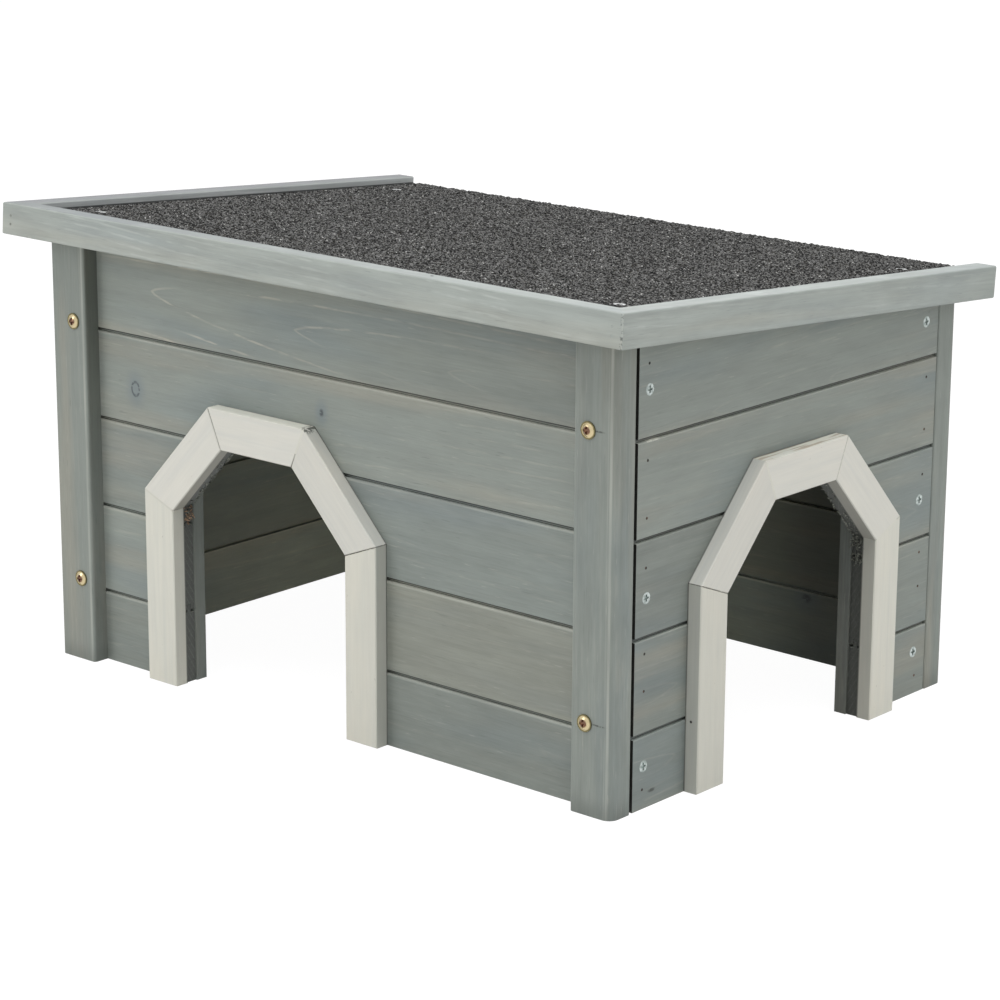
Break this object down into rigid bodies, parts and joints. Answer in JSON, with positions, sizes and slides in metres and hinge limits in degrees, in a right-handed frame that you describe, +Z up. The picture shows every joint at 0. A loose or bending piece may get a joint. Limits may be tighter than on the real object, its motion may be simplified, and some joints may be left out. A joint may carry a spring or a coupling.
{
  "type": "rodent house",
  "caption": "Bottomless wooden rodent house with boarded walls, a sloping felted roof with a raised trim, and white-framed arched doorways in the front and the right side.",
  "frame": {"origin": "on the floor, under the middle of the roof's outline", "axes": "+X along the front towards the side with the doorway, +Y from the front to the back, +Z up"},
  "size_m": [0.42, 0.3071, 0.2499],
  "materials": {
    "grey_wood": "grey glaze, matt",
    "white_wood": "off-white paint, matt",
    "roof_panel": "raw panel",
    "roof_felt": "bitumen with dark mineral granules",
    "yellow_zinc": "yellow-passivated zinc",
    "zinc": "bright zinc"
  },
  "bodies": {
    "root": {"back_board_1": "grey_wood", "back_board_2": "grey_wood", "back_board_3": "grey_wood", "back_board_4": "grey_wood", "back_board_5": "grey_wood", "back_left_batten": "grey_wood", "back_left_post": "grey_wood", "back_right_batten": "grey_wood", "back_right_post": "grey_wood", "board_screws": "zinc", "corner_screws": "yellow_zinc", "front_board_1": "grey_wood", "front_board_2": "grey_wood", "front_board_3_left": "grey_wood", "front_board_3_right": "grey_wood", "front_board_4_left": "grey_wood", "front_board_4_right": "grey_wood", "front_board_5_left": "grey_wood", "front_board_5_right": "grey_wood", "front_door_batten_left": "grey_wood", "front_door_batten_right": "grey_wood", "front_door_left_diagonal": "white_wood", "front_door_left_jamb": "white_wood", "front_door_right_diagonal": "white_wood", "front_door_right_jamb": "white_wood", "front_door_top": "white_wood", "front_left_batten": "grey_wood", "front_left_post": "grey_wood", "front_right_batten": "grey_wood", "front_right_post": "grey_wood", "left_board_1": "grey_wood", "left_board_2": "grey_wood", "left_board_3": "grey_wood", "left_board_4": "grey_wood", "left_board_5": "grey_wood", "panel_brads": "zinc", "right_board_1": "grey_wood", "right_board_2": "grey_wood", "right_board_3_back": "grey_wood", "right_board_3_front": "grey_wood", "right_board_4_back": "grey_wood", "right_board_4_front": "grey_wood", "right_board_5_back": "grey_wood", "right_board_5_front": "grey_wood", "roof_felt": "roof_felt", "roof_panel": "roof_panel", "roof_screws": "zinc", "roof_trim_front": "grey_wood", "roof_trim_left": "grey_wood", "roof_trim_right": "grey_wood", "side_brads": "zinc", "side_door_back_diagonal": "white_wood", "side_door_back_jamb": "white_wood", "side_door_batten_back": "grey_wood", "side_door_batten_front": "grey_wood", "side_door_front_diagonal": "white_wood", "side_door_front_jamb": "white_wood", "side_door_top": "white_wood", "trim_brads": "zinc"}
  },
  "joints": []
}
